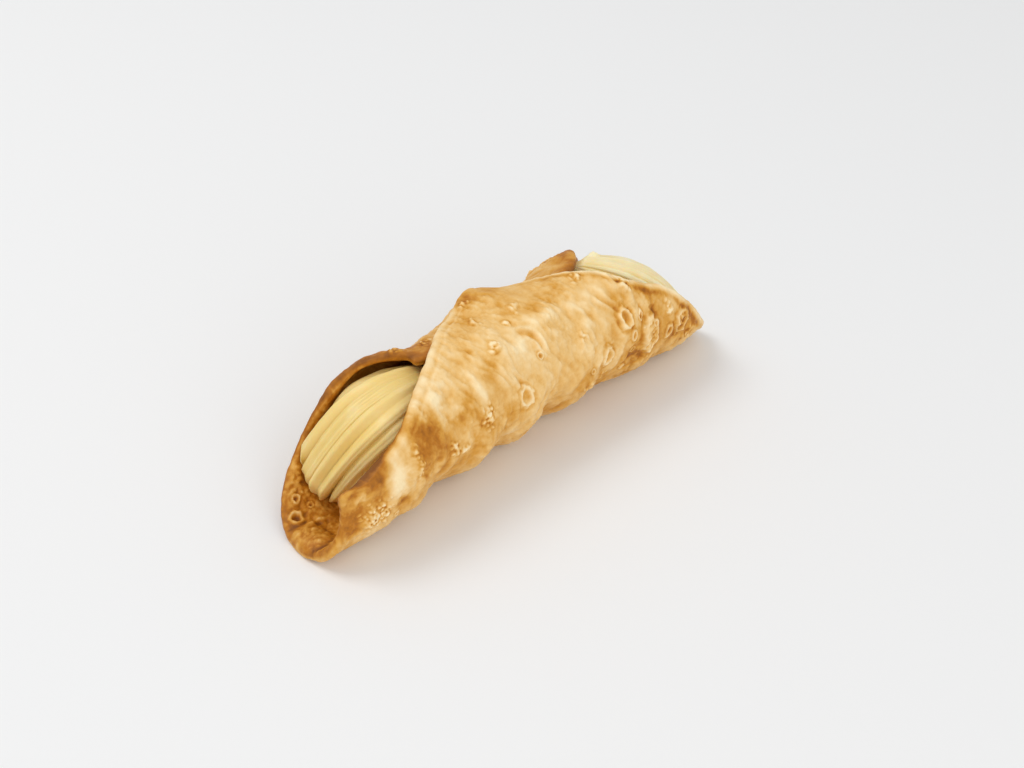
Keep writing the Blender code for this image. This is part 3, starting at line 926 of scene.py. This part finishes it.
def ridge_points(ridges, seed):
    """Points round a rosette: phase, size, groove, notch between pairs, and a tip's length."""
    draw = random.Random(seed)
    sizes = np.array([draw.uniform(*RIDGE_SIZES) for _ in range(ridges)])
    shifts = np.array([draw.uniform(*RIDGE_SHIFTS) for _ in range(ridges)])
    fingers = np.array([draw.uniform(*FINGER_SIZES) for _ in range(ridges // 2)])
    slot = np.arange(ridges * RIDGE_POINTS) / RIDGE_POINTS
    ridge = np.round(slot).astype(int) % ridges
    crest = abs(np.cos(math.pi * slot)) ** 0.8
    rib = abs(np.cos(math.pi * RIBS * slot + 1))
    phase = FIRST_RIDGE + FULL_TURN * (slot + shifts[ridge] * crest) / ridges
    phase += SPREAD * np.sin(phase - SPREAD_MIDDLE)
    size = 1 + (sizes[ridge] - 1) * crest
    groove = RIDGE_DEPTH * (1 - crest) + RIB_DEPTH * (1 - rib)
    notch = (1 - crest) * (1 + np.sin(math.pi * slot)) / 2
    length = FINGER_REACH * fingers[(ridge + 1) // 2 % len(fingers)] * (1 - notch)
    return phase, size, groove, notch, length


def spine_at(spine, share):
    """The point of a spine at a share of it, and the direction there."""
    front, bend, tail = spine
    middle = front * (1 - share) ** 2 + bend * 2 * share * (1 - share) + tail * share**2
    return middle, ((bend - front) * (1 - share) + (tail - bend) * share).normalized()


def girth(share):
    """A rosette's radius over its width, blunt in front and drawn out to the tail."""
    grown = min(share / BLUNT_SHARE, 1) ** BLUNT_POWER
    drawn = max(1 - (1 - share) / TAPER_SHARE, 0)
    return grown * (1 - drawn**2) ** TAPER_POWER


def rosette(spine, width, ridges, edge, seed):
    """A piped rosette with its ridges and fingertips, as the shell holds it in."""
    first_phase, own_size, groove, notch, length = ridge_points(ridges, seed)
    side = (spine[2] - spine[0]).cross(Vector((0, 0, 1))).normalized()
    sections = []
    for step in range(1, ROSETTE_STEPS):
        share = (1 - math.cos(math.pi * step / ROSETTE_STEPS)) / 2
        middle, along = spine_at(spine, share)
        up = side.cross(along)
        phase = first_phase + TWIST * share
        at_front = bump(share / FINGER_SHARE)
        faded = RIDGE_FADE * rising(share, FADE_START, FADE_LENGTH)
        hollow = (groove + FINGER_DEPTH * notch * at_front) * (1 - faded)
        reach = width * girth(share) * own_size * (1 - hollow)
        longer = 1 + LONG_FINGER * bump((phase - LONG_FINGER_TURN) / LONG_FINGER_WIDTH)
        lean = LEAN * bump(share / LEAN_SHARE)
        section = np.array(middle) - np.outer(length * at_front * longer, along)
        section += reach[:, None] * (
            np.outer(np.cos(phase) - lean * np.cos(phase) ** 2, side) + np.outer(np.sin(phase), up))
        ripple = np.array([noise.noise(Vector(spot) / RIPPLE_SIZE) for spot in section])
        section += RIPPLE_HEIGHT * ripple[:, None] * (
            np.outer(np.cos(phase), side) + np.outer(np.sin(phase), up))
        section[:, 2] += PEAK_HEIGHT * bump(np.linalg.norm(section - PEAK, axis=1) / PEAK_REACH)
        sections.append(held_in(section, edge))
    return loft(sections)


def core(edge):
    """The plain cream that fills the tube and joins the rosettes."""
    start, end = CORE_ENDS
    turn = FULL_TURN * np.arange(CORE_POINTS) / CORE_POINTS
    sections = []
    for step in range(CORE_STEPS + 1):
        x = start + (end - start) * step / CORE_STEPS
        outside = max(CORE_FULL[0] - x, x - CORE_FULL[1], 0.0)
        full = max(1 - outside / CORE_FADE, 0.0)
        full *= full * (3 - 2 * full)
        from_end = min(step, CORE_STEPS - step)
        rounding = math.sqrt(CORE_CAPS[from_end]) if from_end < len(CORE_CAPS) else 1.0
        height = AXIS_HEIGHT + (TONGUE_HEIGHT - AXIS_HEIGHT) * (1 - full)
        radius = (TONGUE_RADIUS + (BORE_RADIUS + WALL - TONGUE_RADIUS) * full) * rounding
        section = np.column_stack([
            np.full(CORE_POINTS, x), -radius * np.sin(turn), height - radius * np.cos(turn)])
        sections.append(held_in(section, edge))
    return loft(sections)


def fuse(base, others):
    """Join the other solids to the base and remove them."""
    group = bpy.data.collections.new(base.name + "_parts")
    for other in others:
        group.objects.link(other)
    union = base.modifiers.new("union", "BOOLEAN")
    union.operation = "UNION"
    union.operand_type = "COLLECTION"
    union.collection = group
    union.solver = "EXACT"
    graph = bpy.context.evaluated_depsgraph_get()
    joined = bpy.data.meshes.new_from_object(base.evaluated_get(graph))
    base.modifiers.clear()
    base.data = joined
    for other in others:
        bpy.data.objects.remove(other)
    bpy.data.collections.remove(group)


def valleys(mesh):
    """How deep each vertex lies between the ridges, from 0 on a crest to 1 deep between them, for the
    painted shade.
    """
    count = len(mesh.vertices)
    place, normal = np.empty(count * 3), np.empty(count * 3)
    mesh.vertices.foreach_get("co", place)
    mesh.vertices.foreach_get("normal", normal)
    place, normal = place.reshape(-1, 3), normal.reshape(-1, 3)
    ends = np.empty(len(mesh.edges) * 2, int)
    mesh.edges.foreach_get("vertices", ends)
    first, second = ends[::2], ends[1::2]
    links = np.bincount(ends, minlength=count)[:, None]
    level = place
    for _ in range(VALLEY_ROUNDS):
        level = np.column_stack([
            np.bincount(first, level[second, axis], count)
            + np.bincount(second, level[first, axis], count) for axis in range(3)]) / links
    depth = ((level - place) * normal).sum(axis=1)
    return np.clip(VALLEY_MIDDLE + depth / VALLEY_DEPTH, 0, 1)


def painted_cream_shading(mesh):
    """The cream's painted shade between its ridges, and painted light that makes the far end paler.
    """
    x = np.array([vertex.co.x for vertex in mesh.vertices])
    near_end = 1 - rising(x, PAINTED_LIGHT_START, PAINTED_LIGHT_LENGTH)
    return (valleys(mesh) + FAR_PAINTED_LIGHT * near_end) / (1 + FAR_PAINTED_LIGHT)


# ---------------- materials


def linear(code):
    """A linear colour from an sRGB hex code."""
    values = [int(code[start:start + 2], 16) / 255 for start in (0, 2, 4)]
    return tuple(v / 12.92 if v <= 0.04045 else ((v + 0.055) / 1.055) ** 2.4 for v in values) + (1.0,)


class Tree:
    """A small helper that adds and links nodes of a material."""

    def __init__(self, name):
        self.material = bpy.data.materials.new(name)
        self.material.use_nodes = True
        self.nodes = self.material.node_tree.nodes
        self.links = self.material.node_tree.links
        self.shader = self.nodes["Principled BSDF"]

    def add(self, kind, inputs=(), **settings):
        """A node with settings; inputs are pairs of socket and value or output to link."""
        node = self.nodes.new(kind)
        for key, value in settings.items():
            setattr(node, key, value)
        for socket, value in inputs:
            self.put(node.inputs[socket], value)
        return node

    def put(self, socket, value):
        """Set or link an input."""
        if isinstance(value, bpy.types.NodeSocket):
            self.links.new(value, socket)
        else:
            socket.default_value = value

    def noise(self, scale, detail, roughness):
        """Noise over the object, with its scale in waves a metre."""
        where = self.add("ShaderNodeTexCoord").outputs["Object"]
        node = self.add("ShaderNodeTexNoise", (
            ("Vector", where), ("Scale", scale), ("Detail", detail), ("Roughness", roughness)))
        return node.outputs["Fac"]

    def math(self, operation, *values):
        """A math node's result."""
        node = self.add("ShaderNodeMath", tuple(enumerate(values)), operation=operation)
        return node.outputs[0]

    def varied(self, value, noise_value, amount):
        """A value with noise on it, by an amount."""
        return self.math("MULTIPLY_ADD", self.math("SUBTRACT", noise_value, 0.5), amount, value)

    def roughen(self, height):
        """Fine relief on the surface."""
        relief = self.add("ShaderNodeBump", (
            ("Strength", RELIEF_STRENGTH), ("Distance", RELIEF_DEPTH), ("Height", height)))
        self.put(self.shader.inputs["Normal"], relief.outputs["Normal"])

    def ramp(self, value, stops):
        """A colour ramp over hex codes."""
        node = self.add("ShaderNodeValToRGB", (("Fac", value),))
        elements = node.color_ramp.elements
        while len(elements) < len(stops):
            elements.new(0.5)
        for element, (position, code) in zip(elements, stops):
            element.position = position
            element.color = linear(code)
        return node.outputs["Color"]


RELIEF_STRENGTH = 0.35
RELIEF_DEPTH = 0.0003

# The crust's colours from pale to burnt, and how its tone is scaled and moved onto them.
CRUST_COLOURS = (
    (0.0, "FCE5B6"), (0.20, "F5D399"), (0.40, "EABD74"), (0.58, "D89D40"), (0.76, "B97314"),
    (1.0, "824A0A"),
)
TONE_SCALE = 0.42
TONE_START = 0.36
SPECKLES = 0.16
BLOTCHES = 0.26
CRUST_ROUGHNESS = (0.36, 0.30)  # the least, and how much the blotches add
CRUST_GLOSS = 0.27


def crust_material():
    """Fried dough: its tone from the mesh, with speckles, pores and an uneven oily gloss."""
    tree = Tree("crust")
    # The tone holds the crust's own browning together with painted highlights and painted shade.
    tone = tree.add("ShaderNodeAttribute", attribute_name="tone").outputs["Fac"]
    fine = tree.noise(900.0, 3.0, 0.6)
    blotches = tree.noise(260.0, 3.0, 0.55)
    value = tree.math("MULTIPLY_ADD", tone, TONE_SCALE, TONE_START)
    value = tree.varied(value, fine, SPECKLES)
    value = tree.varied(value, blotches, BLOTCHES)
    tree.put(tree.shader.inputs["Base Color"], tree.ramp(value, CRUST_COLOURS))
    least, more = CRUST_ROUGHNESS
    rough = tree.math("MULTIPLY_ADD", blotches, more, least)
    tree.put(tree.shader.inputs["Roughness"], rough)
    tree.roughen(tree.noise(1600.0, 4.0, 0.65))
    tree.shader.inputs["Specular IOR Level"].default_value = CRUST_GLOSS
    return tree.material


# The cream's colours from crest to the bottom of the valleys, darker downwards as painted shade; the
# palest stops are reached only at the far end, as painted light.
CREAM_COLOURS = (
    (0.0, "FAEDC1"), (0.31, "EED184"), (0.60, "E9C872"), (0.86, "E1B85D"), (1.0, "CA9434"),
)
MARBLING = 0.37
CREAM_ROUGHNESS = 0.42
CREAM_GLOW = 0.25
CREAM_GLOW_REACH = (0.0030, 0.0018, 0.0007)


def cream_material():
    """Set custard cream: soft, faintly marbled and satin."""
    tree = Tree("cream")
    shades = tree.noise(140.0, 3.0, 0.5)
    # Painted shade between the ridges and painted light at the far end, from the mesh.
    painted_light_and_shade = tree.add("ShaderNodeAttribute", attribute_name="painted_light_and_shade").outputs["Fac"]
    value = tree.varied(painted_light_and_shade, shades, MARBLING)
    tree.put(tree.shader.inputs["Base Color"], tree.ramp(value, CREAM_COLOURS))
    tree.shader.inputs["Roughness"].default_value = CREAM_ROUGHNESS
    tree.shader.inputs["Subsurface Weight"].default_value = CREAM_GLOW
    tree.shader.inputs["Subsurface Radius"].default_value = CREAM_GLOW_REACH
    tree.shader.inputs["Subsurface Scale"].default_value = 1.0
    tree.roughen(tree.noise(700.0, 3.0, 0.55))
    return tree.material


def floor_material():
    """Plain pale floor."""
    tree = Tree("floor")
    tree.shader.inputs["Base Color"].default_value = linear("EEEFF0")
    tree.shader.inputs["Roughness"].default_value = 0.9
    return tree.material


# ---------------- pieces


def build_shell():
    """The crust piece."""
    vertices, faces, tone = shell_mesh()
    piece = add_object("crust_shell", vertices, faces)
    # The tone: the crust's own browning together with painted highlights and painted shade.
    layer = piece.data.attributes.new("tone", "FLOAT", "POINT")
    layer.data.foreach_set("value", tone.astype(np.float32))
    piece.data.materials.append(crust_material())
    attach(piece, "root")
    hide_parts("shell")
    return piece


def build_cream():
    """The cream piece."""
    edge = outline(HOLD_SPACING)
    near_form = rosette(NEAR_SPINE, NEAR_WIDTH, NEAR_RIDGES, edge, NEAR_SEED)
    far_form = rosette(FAR_SPINE, FAR_WIDTH, FAR_RIDGES, edge, FAR_SEED)
    piece = add_object("piped_cream", *near_form)
    far = add_object("far_cream", *far_form)
    filling = add_object("filling", *core(edge))
    fuse(piece, [filling, far])
    piece.data.shade_smooth()
    # Painted shade between the ridges and painted light at the far end, kept on the vertices.
    layer = piece.data.attributes.new("painted_light_and_shade", "FLOAT", "POINT")
    layer.data.foreach_set("value", painted_cream_shading(piece.data).astype(np.float32))
    piece.data.materials.clear()
    piece.data.materials.append(cream_material())
    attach(piece, "root")
    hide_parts("cream")
    return piece


# ---------------- floor, light and camera

AZIMUTH = math.radians(-46)
ELEVATION = math.radians(36)
AIM = Vector((0.0020, -0.0043, 0.0160))
CAMERA_DISTANCE = 0.557
LENS = 70.0
FLOOR_HALF = 3.0

# Soft boxes: azimuth and elevation in degrees, distance, width and watts.
KEY = (-150, 58, 1.2, 0.60, 4.6)
FILL = (-20, 30, 1.4, 1.4, 7.5)
LIGHT_COLOUR = (1.0, 0.985, 0.965)
SURROUND_STRENGTH = 0.62


def away(azimuth, elevation):
    """The direction from the object to a viewer."""
    return Vector((
        math.sin(azimuth) * math.cos(elevation), -math.cos(azimuth) * math.cos(elevation),
        math.sin(elevation)))


def add_floor():
    """A wide pale floor."""
    mesh = bpy.data.meshes.new("floor")
    half = FLOOR_HALF
    corners = [(-half, -half, 0), (half, -half, 0), (half, half, 0), (-half, half, 0)]
    mesh.from_pydata(corners, [], [(0, 1, 2, 3)])
    floor = bpy.data.objects.new("floor", mesh)
    bpy.context.scene.collection.objects.link(floor)
    mesh.materials.append(floor_material())


def add_light(name, azimuth, elevation, distance, size, energy):
    """A square soft box that points at the object."""
    data = bpy.data.lights.new(name, "AREA")
    data.size = size
    data.energy = energy
    data.color = LIGHT_COLOUR
    light = bpy.data.objects.new(name, data)
    direction = away(math.radians(azimuth), math.radians(elevation))
    light.location = AIM + direction * distance
    light.rotation_euler = direction.to_track_quat("Z", "Y").to_euler()
    bpy.context.scene.collection.objects.link(light)


def add_lights():
    """A soft box high on the left, a broad one low in front, and a pale surround."""
    add_light("key", *KEY)
    add_light("fill", *FILL)
    world = bpy.data.worlds.new("surround")
    world.use_nodes = True
    world.node_tree.nodes["Background"].inputs["Color"].default_value = (1.0, 1.0, 1.0, 1.0)
    world.node_tree.nodes["Background"].inputs["Strength"].default_value = SURROUND_STRENGTH
    bpy.context.scene.world = world


def add_camera():
    """The camera of the main view."""
    data = bpy.data.cameras.new("camera")
    data.lens = LENS
    data.sensor_width = 36.0
    camera = bpy.data.objects.new("camera", data)
    back = away(AZIMUTH, ELEVATION)
    camera.location = AIM + back * CAMERA_DISTANCE
    camera.rotation_euler = back.to_track_quat("Z", "Y").to_euler()
    bpy.context.scene.collection.objects.link(camera)
    bpy.context.scene.camera = camera


bpy.context.scene.view_settings.view_transform = "Standard"
build_shell()
build_cream()
add_floor()
add_lights()
add_camera()
